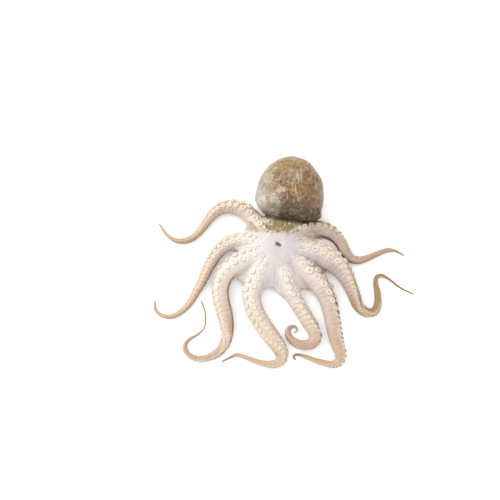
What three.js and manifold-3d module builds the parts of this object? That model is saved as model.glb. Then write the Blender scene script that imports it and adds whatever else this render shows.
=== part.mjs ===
// Whole raw octopus lying on a table, mouth up, arms spread round the mouth and body behind them.
// Millimetres, +Z up. The origin is on the table, straight under the mouth; the body points to +Y.
import * as THREE from 'three';
import { mergeVertices } from 'three/addons/utils/BufferGeometryUtils.js';
import Module from 'manifold-3d';

// Arm routes over the table, clockwise from the back right: x, y and arm width at each point
const ARM_ROUTES = [
  [[8, 9, 12], [16, 15, 15], [26, 19, 17], [36, 21, 17], [46, 19, 15.5], [56, 14, 13], [63, 6, 11.5],
    [67, -3, 10.5], [72, -9.5, 9], [80, -11.5, 8], [90, -8.5, 6.5], [101, -3.5, 5.5], [110, -0.5, 4.5],
    [118, -1.5, 3], [126, -6, 1.4]],
  [[9, 1, 12], [20, -2, 17], [31, -4, 20], [42, -7, 22], [52, -13, 22], [61, -21, 19.5], [67, -30, 16.5],
    [71, -39, 14], [75, -49, 12.5], [78, -58, 11], [84, -63.5, 10], [90, -65, 9], [95.5, -62, 8.5],
    [98, -55, 8], [98, -44.5, 7], [96.5, -35.5, 5.5], [97.5, -28.5, 4.5], [102, -26.5, 4], [108, -29, 3],
    [121, -39, 2], [134, -45.5, 1.4]],
  [[8, -6, 12], [15, -13, 16], [23, -20, 19], [32, -29, 20], [41, -39, 19.5], [47, -50, 17.5],
    [50.5, -62, 16], [52.5, -74, 15], [54.5, -85, 14.5], [57, -97, 13], [60, -106, 11.5], [59, -112.5, 9.5],
    [52.5, -115.5, 7], [44, -114, 6], [34, -111, 5], [26, -108, 4], [20, -106, 3], [16, -106, 2.2],
    [14.5, -109, 1.8], [17, -111, 1.4]],
  [[2, -10, 12], [3, -19, 15.5], [6, -29, 17], [10, -39, 17], [15, -50, 16], [21, -61, 15],
    [27, -71, 14.5], [32.5, -80, 13.5], [36, -88, 12.5], [33.5, -94.5, 11.5], [26, -97, 10],
    [18.5, -95.5, 9], [12.5, -91.5, 8], [9, -86, 6.5], [9.5, -81, 5], [12.5, -78, 3.8], [17, -78.5, 2.6],
    [18, -82, 1.8], [15, -84, 1.4]],
  [[-6, -8, 12], [-12, -16, 16.5], [-18, -25, 20], [-23, -34, 19.5], [-26, -44, 18.5], [-26, -54, 18],
    [-23, -64, 18], [-17.5, -74, 17.5], [-11.5, -83, 17.5], [-5, -92, 16.5], [0.5, -100, 15],
    [3.5, -107.5, 12.5], [0, -113.5, 9.5], [-7, -115.5, 7.5], [-17, -114, 6], [-26, -111, 5],
    [-34, -108, 4.5], [-41, -106, 3.5], [-47, -108.5, 2.5], [-56, -113, 1.4]],
  [[-10, -4, 12], [-20, -7.5, 16], [-31, -11.5, 18.5], [-41, -16.5, 20], [-50, -24, 19],
    [-55.5, -33.5, 17.5], [-57, -44.5, 16.5], [-55.5, -55.5, 16.5], [-52.5, -66.5, 15.5],
    [-50.5, -77.5, 14], [-50.5, -88, 11.5], [-54, -98, 10], [-60, -104.5, 8.5], [-68, -108.5, 7],
    [-76.5, -110, 6], [-85, -108, 5.5], [-91, -102, 5], [-91, -95, 4], [-86.5, -90, 3.2],
    [-80.5, -86.5, 2.4], [-73, -79, 1.8], [-72, -66, 1.6], [-76, -52, 1.4]],
  [[-10, 2, 12], [-19, 4.5, 15], [-29, 6.5, 16.5], [-39, 8, 16.5], [-49, 5.5, 15.5], [-58, -1, 14],
    [-65, -11, 12.5], [-71, -22, 11.5], [-76, -34, 10], [-82, -45, 8.5], [-88, -55.5, 7],
    [-96, -63.5, 6], [-105, -68, 5], [-114, -67, 4], [-121, -61, 3], [-122, -51, 1.4]],
  [[-7, 9, 12], [-13, 16, 15], [-19.5, 24, 17], [-27, 33, 17], [-35, 39.5, 16], [-45, 43.5, 14.5],
    [-55.5, 42.5, 13], [-64.5, 37, 11.5], [-71.5, 28, 9.5], [-78, 19, 8], [-86, 11.5, 7],
    [-96, 8.5, 6], [-105, 10.5, 4.5], [-112.5, 17, 3.2], [-120, 28, 1.4]],
];
// How far each arm's sucker rows are rolled from straight up, in degrees, plus to the left of its run:
// where the arm starts, and at the last sucker that is made here
const ARM_ROLLS = [[32, 64], [28, 37], [28, 46], [16, 29], [-12, -24], [-18, -40], [-8, -21], [-28, -30]];
const ARM_HEIGHT = 0.84; // arm height over its width
const ARM_CENTRE = 0.38; // height of an arm's middle over its width, on the table
const ARM_LIFT = 8.5; // how far the crown lifts the arms' roots
const LIFT_START = 8;
const LIFT_END = 48;
const ARM_SIDES = 8;
const ARM_RING_STEP = 7.5;
const TIP_CROWDING = 1.4; // above 1, the rings stand closer together towards the tip
const BEND_LIMIT = 0.8; // share of the bend's radius that an arm's inner side may fill

// Suckers: two staggered rows on each arm
const SUCKER_DIAMETER = 0.34; // over the arm's width
const SUCKER_SPREAD = 25; // degrees from the middle of the oral side to each row
const SUCKER_PITCH = 0.65; // step to the next sucker, of the other row, over the diameter
const SUCKER_HEIGHT = 0.3; // over the diameter
const SUCKER_FOOT = 1.6; // depth of the foot inside the arm
const SUCKER_START = 4; // along the arm
const ROLL_START = 15; // along the arm
const SUCKER_END = 50; // along the arm; the suckers further out are too small to make here
const SUCKER_SIDES = 6;

// Crown: the mound round the mouth and the web between the arms' roots
const CROWN_TOP = 22.5;
const MOUTH_DIP = 2;
const WEB_TOP = 4.5;
const CROWN_SLOPE_START = 6;
const CROWN_SLOPE_END = 60;
// The web's margin: direction in degrees from +X and distance from the mouth, at gaps and arms in turn
const WEB_MARGIN = [
  [-180, 46], [-175, 40], [-157, 58], [-143, 50.5], [-134, 49], [-126, 52], [-98, 40], [-80, 52], [-62, 46.5],
  [-44, 60], [-27, 52], [-9, 64], [0, 66], [8, 60], [18, 50], [40, 36], [76, 30], [110, 34],
  [128, 42], [152, 38], [180, 46],
];
const CROWN_SEGMENTS = 40;
const CROWN_RINGS = [0.12, 0.3, 0.5, 0.75];

// Mouth: a slanting slit in the middle of the crown
const MOUTH = { length: 6.4, width: 2.8, depth: 7, slant: -28 };

// Mantle: an egg that lies behind the crown, blunt towards the neck and longer towards its tip;
// its weight has filled out the lower half, the more the higher the slump is above 2
const MANTLE = { x: 11.7, y: 50.7, z: 19.5, halfWidth: 33.5, toTip: 41.2, toNeck: 27, halfHeight: 22 };
const MANTLE_SLUMP = 2.7;
const MANTLE_CORNER = 3; // above 2, the corner beside the right back arm is fuller
const MANTLE_LEAN = -5; // degrees

// Head: the broad neck between the mantle and the crown, under the crown's back rim
const HEAD = { x: 5, y: 22, z: 6, width: 50, length: 36, height: 24 };

const BELOW_TABLE = -3; // bodies reach below the table and are cut off flat on it
const SPACE = 400;

const Y_AXIS = new THREE.Vector3(0, 1, 0);
const wasm = await Module();
wasm.setup();

function smooth(from, to, value) {
  return THREE.MathUtils.smoothstep(value, from, to);
}

// A closed three.js geometry as a solid that can be joined and cut
function solidOf(geometry) {
  const shape = geometry.index ? geometry.clone() : geometry;
  shape.deleteAttribute('normal');
  shape.deleteAttribute('uv');
  const merged = mergeVertices(shape);
  const index = merged.index.array;
  const corners = [];
  for (let i = 0; i < index.length; i += 3) {
    const [a, b, c] = [index[i], index[i + 1], index[i + 2]];
    if (a !== b && b !== c && c !== a) corners.push(a, b, c);
  }
  const mesh = new wasm.Mesh({
    numProp: 3,
    vertProperties: new Float32Array(merged.attributes.position.array),
    triVerts: new Uint32Array(corners),
  });
  return new wasm.Manifold(mesh);
}

// The largest shell of a mesh: pockets that the joined bodies seal in are filled by leaving them out
function outerShell(corners, vertexCount) {
  const leaders = Array.from({ length: vertexCount }, (unused, vertex) => vertex);
  function leaderOf(vertex) {
    let leader = vertex;
    while (leaders[leader] !== leader) leader = leaders[leader];
    leaders[vertex] = leader;
    return leader;
  }
  for (let i = 0; i < corners.length; i += 3) {
    leaders[leaderOf(corners[i + 1])] = leaderOf(corners[i]);
    leaders[leaderOf(corners[i + 2])] = leaderOf(corners[i]);
  }
  const sizes = new Map();
  for (const corner of corners) sizes.set(leaderOf(corner), (sizes.get(leaderOf(corner)) ?? 0) + 1);
  const [[largest]] = [...sizes].sort((a, b) => b[1] - a[1]);
  return corners.filter((corner) => leaderOf(corner) === largest);
}

function geometryOf(solid) {
  const mesh = solid.getMesh();
  const positions = new THREE.BufferAttribute(mesh.vertProperties, 3);
  const geometry = new THREE.BufferGeometry();
  geometry.setAttribute('position', positions);
  geometry.setIndex([...outerShell([...mesh.triVerts], positions.count)]);
  geometry.computeVertexNormals();
  return geometry;
}

// Moves every vertex of a geometry by a rule
function reshape(geometry, rule) {
  const position = geometry.attributes.position;
  const point = new THREE.Vector3();
  for (let i = 0; i < position.count; i += 1) {
    point.fromBufferAttribute(position, i);
    rule(point);
    position.setXYZ(i, point.x, point.y, point.z);
  }
  return geometry;
}

function armLift(x, y) {
  return ARM_LIFT * (1 - smooth(LIFT_START, LIFT_END, Math.hypot(x, y)));
}

// One arm: a smooth route with the width at any place along it
function makeArm(route) {
  const points = route.map(([x, y, width]) => {
    return new THREE.Vector3(x, y, width * ARM_CENTRE + armLift(x, y));
  });
  const widths = route.map(([, , width]) => new THREE.Vector3(width, 0, 0));
  const curve = new THREE.CatmullRomCurve3(points, false, 'centripetal');
  const widthCurve = new THREE.CatmullRomCurve3(widths, false, 'catmullrom', 0.5);
  const length = curve.getLength();

  function placeAt(share) {
    const t = curve.getUtoTmapping(share);
    const along = curve.getTangent(t).setZ(0).normalize();
    const before = curve.getTangentAt(Math.max(0, share - 0.01)).setZ(0).normalize();
    const after = curve.getTangentAt(Math.min(1, share + 0.01)).setZ(0).normalize();
    const turn = Math.asin(THREE.MathUtils.clamp(before.x * after.y - before.y * after.x, -1, 1));
    return {
      centre: curve.getPoint(t),
      left: new THREE.Vector3(-along.y, along.x, 0),
      half: widthCurve.getPoint(t).x / 2,
      bend: turn / (0.02 * length),
    };
  }
  return { length, placeAt };
}

// The arm's flesh: a cylinder laid along the route, as wide and as high as the arm is at each ring
function armBody(arm) {
  const rings = Math.round(arm.length / ARM_RING_STEP);
  const tube = new THREE.CylinderGeometry(1, 1, 1, ARM_SIDES, rings);
  reshape(tube, (point) => {
    const place = arm.placeAt(1 - (0.5 + point.y) ** TIP_CROWDING);
    let sideways = point.x * place.half;
    if (sideways * place.bend > BEND_LIMIT) sideways = BEND_LIMIT / place.bend;
    const upwards = point.z * place.half * ARM_HEIGHT;
    point.copy(place.centre).addScaledVector(place.left, sideways);
    point.z += upwards;
  });
  return solidOf(tube);
}

// One sucker: a short cup with a round rim, standing on +Y
function suckerShape(diameter) {
  const radius = diameter / 2;
  const height = diameter * SUCKER_HEIGHT;
  const profile = [
    [0, -SUCKER_FOOT],
    [radius * 0.8, -SUCKER_FOOT],
    [radius, height],
    [radius * 0.55, height],
    [0, height * 0.4],
  ];
  return new THREE.LatheGeometry(profile.map(([x, y]) => new THREE.Vector2(x, y)), SUCKER_SIDES);
}

function armSuckers(arm, [firstRoll, lastRoll]) {
  const suckers = [];
  let along = SUCKER_START;
  let row = 1;
  while (along < SUCKER_END) {
    const place = arm.placeAt(along / arm.length);
    const diameter = place.half * 2 * SUCKER_DIAMETER;
    const twist = THREE.MathUtils.clamp((along - ROLL_START) / (SUCKER_END - ROLL_START), 0, 1);
    const roll = THREE.MathUtils.lerp(firstRoll, lastRoll, twist);
    const angle = THREE.MathUtils.degToRad(roll + row * SUCKER_SPREAD);
    const halfHeight = place.half * ARM_HEIGHT;
    const foot = place.centre.clone().addScaledVector(place.left, place.half * Math.sin(angle));
    foot.z += halfHeight * Math.cos(angle);
    const outward = place.left.clone().multiplyScalar(Math.sin(angle) * ARM_HEIGHT);
    outward.z = Math.cos(angle);
    const turn = new THREE.Quaternion().setFromUnitVectors(Y_AXIS, outward.normalize());
    const shape = suckerShape(diameter).applyQuaternion(turn).translate(foot.x, foot.y, foot.z);
    suckers.push(solidOf(shape));
    along += diameter * SUCKER_PITCH;
    row = -row;
  }
  return suckers;
}

// Distance from the mouth to the web's margin in a direction
function marginAt(degrees) {
  const after = WEB_MARGIN.findIndex(([angle]) => angle >= degrees);
  const [angleB, reachB] = WEB_MARGIN[Math.max(after, 1)];
  const [angleA, reachA] = WEB_MARGIN[Math.max(after, 1) - 1];
  return reachA + (reachB - reachA) * smooth(angleA, angleB, degrees);
}

function crownHeight(radius) {
  const slope = 1 - smooth(CROWN_SLOPE_START, CROWN_SLOPE_END, radius);
  const dip = MOUTH_DIP * (1 - smooth(0, CROWN_SLOPE_START, radius));
  return WEB_TOP + (CROWN_TOP - WEB_TOP) * slope - dip;
}

// The crown: a disc of rings that is drawn out to the web's margin and raised into a mound
function crownBody() {
  const profile = [[0, -1], [1, -1], [1, 1]];
  for (const ring of [...CROWN_RINGS].reverse()) profile.push([ring, 1]);
  profile.push([0, 1]);
  const disc = new THREE.LatheGeometry(
    profile.map(([x, y]) => new THREE.Vector2(x, y)), CROWN_SEGMENTS);
  reshape(disc, (point) => {
    const angle = Math.atan2(-point.z, point.x);
    const radius = Math.hypot(point.x, point.z) * marginAt(THREE.MathUtils.radToDeg(angle));
    const height = point.y > 0 ? crownHeight(radius) : BELOW_TABLE;
    point.set(radius * Math.cos(angle), radius * Math.sin(angle), height);
  });
  return solidOf(disc);
}

function ellipsoid(width, length, height, around, along) {
  const ball = new THREE.SphereGeometry(0.5, around, along);
  return ball.scale(width, length, height);
}

// How much wider the mantle is at a height from -1 to 1 than a round ball would be
function slumpAt(height) {
  const depth = Math.min(0.999, Math.max(0, -height));
  return (1 - depth ** MANTLE_SLUMP) ** (1 / MANTLE_SLUMP) / Math.sqrt(1 - depth ** 2);
}

// How much further out the mantle's right front quarter reaches than an ellipse would
function cornerAt(x, y) {
  if (x <= 0 || y >= 0) return 1;
  return Math.hypot(x, y) / (x ** MANTLE_CORNER + (-y) ** MANTLE_CORNER) ** (1 / MANTLE_CORNER);
}

function mantleBody() {
  const egg = ellipsoid(2, 2, 2, 28, 14);
  reshape(egg, (point) => {
    const wider = slumpAt(point.z) * cornerAt(point.x, point.y);
    point.x *= wider * MANTLE.halfWidth;
    point.y *= wider * (point.y > 0 ? MANTLE.toTip : MANTLE.toNeck);
    point.z *= MANTLE.halfHeight;
  });
  egg.rotateZ(THREE.MathUtils.degToRad(MANTLE_LEAN));
  egg.translate(MANTLE.x, MANTLE.y, MANTLE.z);
  return solidOf(egg);
}

function headBody() {
  const head = ellipsoid(HEAD.width, HEAD.length, HEAD.height, 20, 10);
  return solidOf(head.translate(HEAD.x, HEAD.y, HEAD.z));
}

function mouthCut() {
  const slit = ellipsoid(MOUTH.length, MOUTH.width, MOUTH.depth, 12, 8);
  slit.rotateZ(THREE.MathUtils.degToRad(MOUTH.slant));
  return solidOf(slit.translate(0, 0, CROWN_TOP - MOUTH_DIP));
}

function octopusBody() {
  let body = crownBody().add(mantleBody()).add(headBody());
  ARM_ROUTES.forEach((route, number) => {
    const arm = makeArm(route);
    body = body.add(armBody(arm));
    for (const sucker of armSuckers(arm, ARM_ROLLS[number])) body = body.add(sucker);
  });
  const aboveTable = new THREE.BoxGeometry(SPACE, SPACE, SPACE).translate(0, 0, SPACE / 2);
  return body.subtract(mouthCut()).intersect(solidOf(aboveTable));
}

const skin = new THREE.MeshStandardMaterial({ color: 0xd9c7b0, roughness: 0.45, metalness: 0 });
const octopus = new THREE.Mesh(geometryOf(octopusBody()), skin);
octopus.name = 'octopus';

const group = new THREE.Group();
group.add(octopus);

export default group;
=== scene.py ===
# %% [markdown]
# # A raw octopus laid out with its mouth up
#
# The octopus lies on its back: eight arms spread and curl round the mouth, and the
# egg-shaped body lies behind them. It is one soft skin with no seam anywhere, and
# hundreds of small suckers stand on it. So there are two pieces here. The skin is grown
# from simple closed shapes that are fused into one surface. The suckers are one cup,
# modelled once and copied along the arms.
#
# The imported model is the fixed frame. Everything is in its metres, with the origin on
# the table under the mouth, +Z up and the body towards +Y.

import math

import bpy
import numpy as np
from mathutils import Matrix, Vector, noise
from mathutils.bvhtree import BVHTree


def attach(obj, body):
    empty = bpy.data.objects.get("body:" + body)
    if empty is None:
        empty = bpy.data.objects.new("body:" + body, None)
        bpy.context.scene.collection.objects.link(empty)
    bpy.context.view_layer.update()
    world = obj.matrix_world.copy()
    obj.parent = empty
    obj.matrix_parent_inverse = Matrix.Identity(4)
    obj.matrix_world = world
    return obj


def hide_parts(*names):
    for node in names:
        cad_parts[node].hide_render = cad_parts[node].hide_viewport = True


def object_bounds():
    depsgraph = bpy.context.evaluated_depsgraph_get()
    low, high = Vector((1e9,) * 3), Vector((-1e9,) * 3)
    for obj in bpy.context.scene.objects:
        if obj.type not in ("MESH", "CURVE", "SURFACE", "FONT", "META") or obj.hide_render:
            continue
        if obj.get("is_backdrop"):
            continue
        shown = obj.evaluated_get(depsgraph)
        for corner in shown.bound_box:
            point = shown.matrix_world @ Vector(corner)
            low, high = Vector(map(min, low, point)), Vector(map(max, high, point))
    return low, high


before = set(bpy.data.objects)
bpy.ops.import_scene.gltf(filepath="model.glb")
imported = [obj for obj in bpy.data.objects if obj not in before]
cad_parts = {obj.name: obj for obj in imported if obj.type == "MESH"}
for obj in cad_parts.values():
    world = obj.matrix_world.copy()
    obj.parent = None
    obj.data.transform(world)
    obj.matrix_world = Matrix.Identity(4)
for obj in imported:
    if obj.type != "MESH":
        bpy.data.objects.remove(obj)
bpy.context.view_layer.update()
MM = 0.001

# %% [markdown]
# ## Camera and light
#
# The photograph looks steeply down on the table, from the side of the arms: round
# suckers on top of the arms look round, and the skin behind the crown shows too. The
# table is plain white, and one large soft light comes from the left, so the shadows
# are pale and fall to the right.

# %% Camera at the photograph's angle
ELEVATION = math.radians(75)
VIEW_CENTRE = Vector((-28, 0, 0)) * MM
VIEW_DISTANCE = 1.1
VIEW_WIDTH = 0.5
SENSOR = 36

camera_data = bpy.data.cameras.new("camera")
camera_data.sensor_width = SENSOR
camera_data.lens = SENSOR * VIEW_DISTANCE / VIEW_WIDTH
camera = bpy.data.objects.new("camera", camera_data)
bpy.context.scene.collection.objects.link(camera)
back = Vector((0, -math.cos(ELEVATION), math.sin(ELEVATION)))
camera.location = VIEW_CENTRE + back * VIEW_DISTANCE
camera.rotation_euler = (-back).to_track_quat("-Z", "Y").to_euler()
bpy.context.scene.camera = camera
print("lens:", round(camera_data.lens, 1), "mm")


# %% Table and lights
TABLE_SIZE = 6
TABLE_DROP = 0.0002
WHITE = (0.92, 0.92, 0.92)
SKY = (0.98, 0.99, 1, 1)
SKY_STRENGTH = 1.18


def plain_material(name, rgb, roughness, glow):
    """A material of one colour, for the table alone."""
    material = bpy.data.materials.new(name)
    material.use_nodes = True
    shader = material.node_tree.nodes["Principled BSDF"]
    shader.inputs["Base Color"].default_value = (*rgb, 1)
    shader.inputs["Roughness"].default_value = roughness
    shader.inputs["Emission Color"].default_value = (*rgb, 1)
    shader.inputs["Emission Strength"].default_value = glow
    return material


def add_light(name, place, size, watts):
    """A square area light that points at the octopus."""
    data = bpy.data.lights.new(name, "AREA")
    data.size = size
    data.energy = watts
    light = bpy.data.objects.new(name, data)
    light.location = place
    light.rotation_euler = (-Vector(place)).to_track_quat("-Z", "Y").to_euler()
    bpy.context.scene.collection.objects.link(light)


bpy.ops.object.select_all(action="DESELECT")
bpy.ops.mesh.primitive_plane_add(size=TABLE_SIZE, location=(0, 0, -TABLE_DROP))
table = bpy.context.active_object
table.name = "table"
table.data.materials.append(plain_material("white table", WHITE, roughness=0.6, glow=0.2))
table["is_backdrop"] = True

add_light("window", place=(-0.85, 0.45, 0.75), size=0.7, watts=8.5)
add_light("fill", place=(0.7, -0.5, 1.0), size=1.2, watts=1)
world = bpy.data.worlds.new("room")
world.use_nodes = True
sky = world.node_tree.nodes["Background"]
sky.inputs["Color"].default_value = SKY
sky.inputs["Strength"].default_value = SKY_STRENGTH
bpy.context.scene.world = world
bpy.context.scene.view_settings.view_transform = "Standard"
print("table and two lights")

# %% [markdown]
# ## The arms' routes
#
# Each arm is drawn as a line on the table with the arm's width at each point. A smooth
# curve through the points, whose knots follow the spacing of the points, doesn't
# overshoot in the tight curls at the tips. The crown lifts the arms where they start.

# %% Arm routes, clockwise from the back right: x, y and width in millimetres
ARM_ROUTES = [
    [(8, 9, 12), (16, 15, 15), (26, 19, 17), (36, 21, 17), (46, 19, 15.5), (56, 14, 13),
     (63, 6, 11.5), (67, -3, 10.5), (72, -9.5, 9), (80, -11.5, 8), (90, -8.5, 6.5),
     (101, -3.5, 5.5), (110, -0.5, 4.5), (118, -1.5, 3), (126, -6, 1.4)],
    [(9, 1, 12), (20, -2, 17), (31, -4, 20), (42, -7, 22), (52, -13, 22), (61, -21, 19.5),
     (67, -30, 16.5), (71, -39, 14), (75, -49, 12.5), (78, -58, 11), (84, -63.5, 10),
     (90, -65, 9), (95.5, -62, 8.5), (98, -55, 8), (98, -44.5, 7), (96.5, -35.5, 5.5),
     (97.5, -28.5, 4.5), (102, -26.5, 4), (108, -29, 3), (121, -39, 2), (134, -45.5, 1.4)],
    [(8, -6, 12), (15, -13, 16), (23, -20, 19), (32, -29, 20), (41, -39, 19.5),
     (47, -50, 17.5), (50.5, -62, 16), (52.5, -74, 15), (54.5, -85, 14.5), (57, -97, 13),
     (60, -106, 11.5), (59, -112.5, 9.5), (52.5, -115.5, 7), (44, -114, 6), (34, -111, 5),
     (26, -108, 4), (20, -106, 3), (16, -106, 2.2), (14.5, -109, 1.8), (17, -111, 1.4)],
    [(2, -10, 12), (3, -19, 15.5), (6, -29, 17), (10, -39, 17), (15, -50, 16),
     (21, -61, 15), (27, -71, 14.5), (32.5, -80, 13.5), (36, -88, 12.5), (33.5, -94.5, 11.5),
     (26, -97, 10), (18.5, -95.5, 9), (12.5, -91.5, 8), (9, -86, 6.5), (9.5, -81, 5),
     (12.5, -78, 3.8), (17, -78.5, 2.6), (18, -82, 1.8), (15, -84, 1.4)],
    [(-6, -8, 12), (-12, -16, 16.5), (-18, -25, 20), (-23, -34, 19.5), (-26, -44, 18.5),
     (-26, -54, 18), (-23, -64, 18), (-17.5, -74, 17.5), (-11.5, -83, 17.5), (-5, -92, 16.5),
     (0.5, -100, 15), (3.5, -107.5, 12.5), (0, -113.5, 9.5), (-7, -115.5, 7.5), (-17, -114, 6),
     (-26, -111, 5), (-34, -108, 4.5), (-41, -106, 3.5), (-47, -108.5, 2.5), (-56, -113, 1.4)],
    [(-10, -4, 12), (-20, -7.5, 16), (-31, -11.5, 18.5), (-41, -16.5, 20), (-50, -24, 19),
     (-55.5, -33.5, 17.5), (-57, -44.5, 16.5), (-55.5, -55.5, 16.5), (-52.5, -66.5, 15.5),
     (-50.5, -77.5, 14), (-50.5, -88, 11.5), (-54, -98, 10), (-60, -104.5, 8.5),
     (-68, -108.5, 7), (-76.5, -110, 6), (-85, -108, 5.5), (-91, -102, 5), (-91, -95, 4),
     (-86.5, -90, 3.2), (-80.5, -86.5, 2.4), (-73, -79, 1.8), (-72, -66, 1.6), (-76, -52, 1.4)],
    [(-10, 2, 12), (-19, 4.5, 15), (-29, 6.5, 16.5), (-39, 8, 16.5), (-49, 5.5, 15.5),
     (-58, -1, 14), (-65, -11, 12.5), (-71, -22, 11.5), (-76, -34, 10), (-82, -45, 8.5),
     (-88, -55.5, 7), (-96, -63.5, 6), (-105, -68, 5), (-114, -67, 4), (-121, -61, 3),
     (-122, -51, 1.4)],
    [(-7, 9, 12), (-13, 16, 15), (-19.5, 24, 17), (-27, 33, 17), (-35, 39.5, 16),
     (-45, 43.5, 14.5), (-55.5, 42.5, 13), (-64.5, 37, 11.5), (-71.5, 28, 9.5), (-78, 19, 8),
     (-86, 11.5, 7), (-96, 8.5, 6), (-105, 10.5, 4.5), (-112.5, 17, 3.2), (-120, 28, 1.4)],
]
# How each arm is twisted: distance from its start in millimetres, and how far its sucker
# rows are rolled there from straight up, in degrees, plus to the left
ARM_TWISTS = [
    [(15, 30), (38, 40), (62, 84), (80, 98)],
    [(15, 28), (65, 40), (98, 44), (116, -62), (130, -84)],
    [(15, 28), (45, 42), (66, 58), (84, 78)],
    [(15, 16), (55, 30), (76, 50), (92, 98)],
    [(15, -12), (60, -28), (94, -20), (118, 66), (130, 88)],
    [(15, -18), (60, -58), (104, -54), (128, 66), (140, 86)],
    [(15, -8), (65, -26)],
    [(15, -28), (65, -30)],
]
# An arm's height and the height of its centre line, as shares of its width
ARM_HEIGHT = 0.84
ARM_CENTRE = 0.38
# How much the crown lifts the arms, and between which distances from the mouth it fades
ARM_LIFT = 8.5
LIFT_START = 8
LIFT_END = 48


# %% Smooth routes from the points
def smooth(start, end, value):
    """0 before start, 1 after end and an even S between them."""
    share = np.clip((value - start) / (end - start), 0, 1)
    return share * share * (3 - 2 * share)


def band(start, full, fading, end, value):
    """0 before start and after end, and 1 from full to fading."""
    return smooth(start, full, value) * (1 - smooth(fading, end, value))


def smooth_route(points, pieces=12):
    """A curve through all points, its knots spaced by the square root of the distances."""
    rows = np.array(points, float)
    rows = np.vstack([2 * rows[0] - rows[1], rows, 2 * rows[-1] - rows[-2]])
    curve = []
    for p0, p1, p2, p3 in zip(rows, rows[1:], rows[2:], rows[3:]):
        knots = np.cumsum([0, *(np.linalg.norm((b - a)[:2]) ** 0.5
                                for a, b in ((p0, p1), (p1, p2), (p2, p3)))])
        t0, t1, t2, t3 = knots
        for t in np.linspace(t1, t2, pieces, endpoint=False):
            a1 = p0 + (p1 - p0) * (t - t0) / (t1 - t0)
            a2 = p1 + (p2 - p1) * (t - t1) / (t2 - t1)
            a3 = p2 + (p3 - p2) * (t - t2) / (t3 - t2)
            b1 = a1 + (a2 - a1) * (t - t0) / (t2 - t0)
            b2 = a2 + (a3 - a2) * (t - t1) / (t3 - t1)
            curve.append(b1 + (b2 - b1) * (t - t1) / (t2 - t1))
    curve.append(rows[-2])
    return np.array(curve)


class Arm:
    """An arm's centre line: place, heading, half width and distance along, in millimetres."""

    def __init__(self, points, twist):
        curve = smooth_route(points)
        steps = np.linalg.norm(np.diff(curve[:, :2], axis=0), axis=1)
        self.distances = np.concatenate([[0], np.cumsum(steps)])
        self.curve = curve
        self.length = self.distances[-1]
        self.twist = np.array(twist)

    def roll_at(self, distance):
        return math.radians(np.interp(distance, self.twist[:, 0], self.twist[:, 1]))

    def at(self, distance):
        """Centre, direction, left hand side and half width at a distance from the start."""
        x, y, width = (np.interp(distance, self.distances, self.curve[:, k]) for k in range(3))
        before, after = max(0, distance - 0.5), min(self.length, distance + 0.5)
        run = [np.interp(after, self.distances, self.curve[:, k])
               - np.interp(before, self.distances, self.curve[:, k]) for k in (0, 1)]
        along = Vector((*run, 0)).normalized()
        lift = ARM_LIFT * (1 - smooth(LIFT_START, LIFT_END, math.hypot(x, y)))
        centre = Vector((x, y, width * ARM_CENTRE + lift))
        return centre, along, Vector((-along.y, along.x, 0)), width / 2


ARMS = [Arm(points, twist) for points, twist in zip(ARM_ROUTES, ARM_TWISTS)]
print("arm lengths in mm:", [round(arm.length) for arm in ARMS])

# %% [markdown]
# ## Growing an arm
#
# An arm is a tapering tube. By hand it is a circle that is extruded along its route,
# turned and shrunk at each step, so that is done here with the same three operators.
# The steps are a third of the arm's width, which is close enough in the broad part and
# follows the curls at the tip. What would lie under the table is pressed flat on it.

# %% Helpers for edit mode
SIDES = 16
STEP_SHARE = 0.34
SMALLEST_STEP = 1.0


def deselect_all():
    bpy.ops.object.select_all(action="DESELECT")


def make_active(piece):
    deselect_all()
    piece.select_set(True)
    bpy.context.view_layer.objects.active = piece


def select_points(piece, test):
    """Enters edit mode with the points selected whose place in millimetres passes the test."""
    make_active(piece)
    bpy.ops.object.mode_set(mode="EDIT")
    bpy.ops.mesh.select_mode(type="VERT")
    bpy.ops.mesh.select_all(action="DESELECT")
    bpy.ops.object.mode_set(mode="OBJECT")
    for vertex in piece.data.vertices:
        vertex.select = test(vertex.co / MM)
    bpy.ops.object.mode_set(mode="EDIT")


def press_flat(piece):
    """Moves what is below the table up to it, as the weight of the soft flesh does."""
    select_points(piece, lambda point: point.z < 0)
    bpy.ops.transform.resize(value=(1, 1, 0), center_override=(0, 0, 0))
    bpy.ops.mesh.select_all(action="SELECT")
    bpy.ops.mesh.normals_make_consistent(inside=False)
    bpy.ops.object.mode_set(mode="OBJECT")


def keep_place_in_mesh(piece):
    make_active(piece)
    bpy.ops.object.transform_apply(location=True, rotation=True, scale=True)


def surface(piece):
    """A search tree of the piece's faces."""
    return BVHTree.FromPolygons([vertex.co for vertex in piece.data.vertices],
                                [polygon.vertices for polygon in piece.data.polygons])


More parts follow.
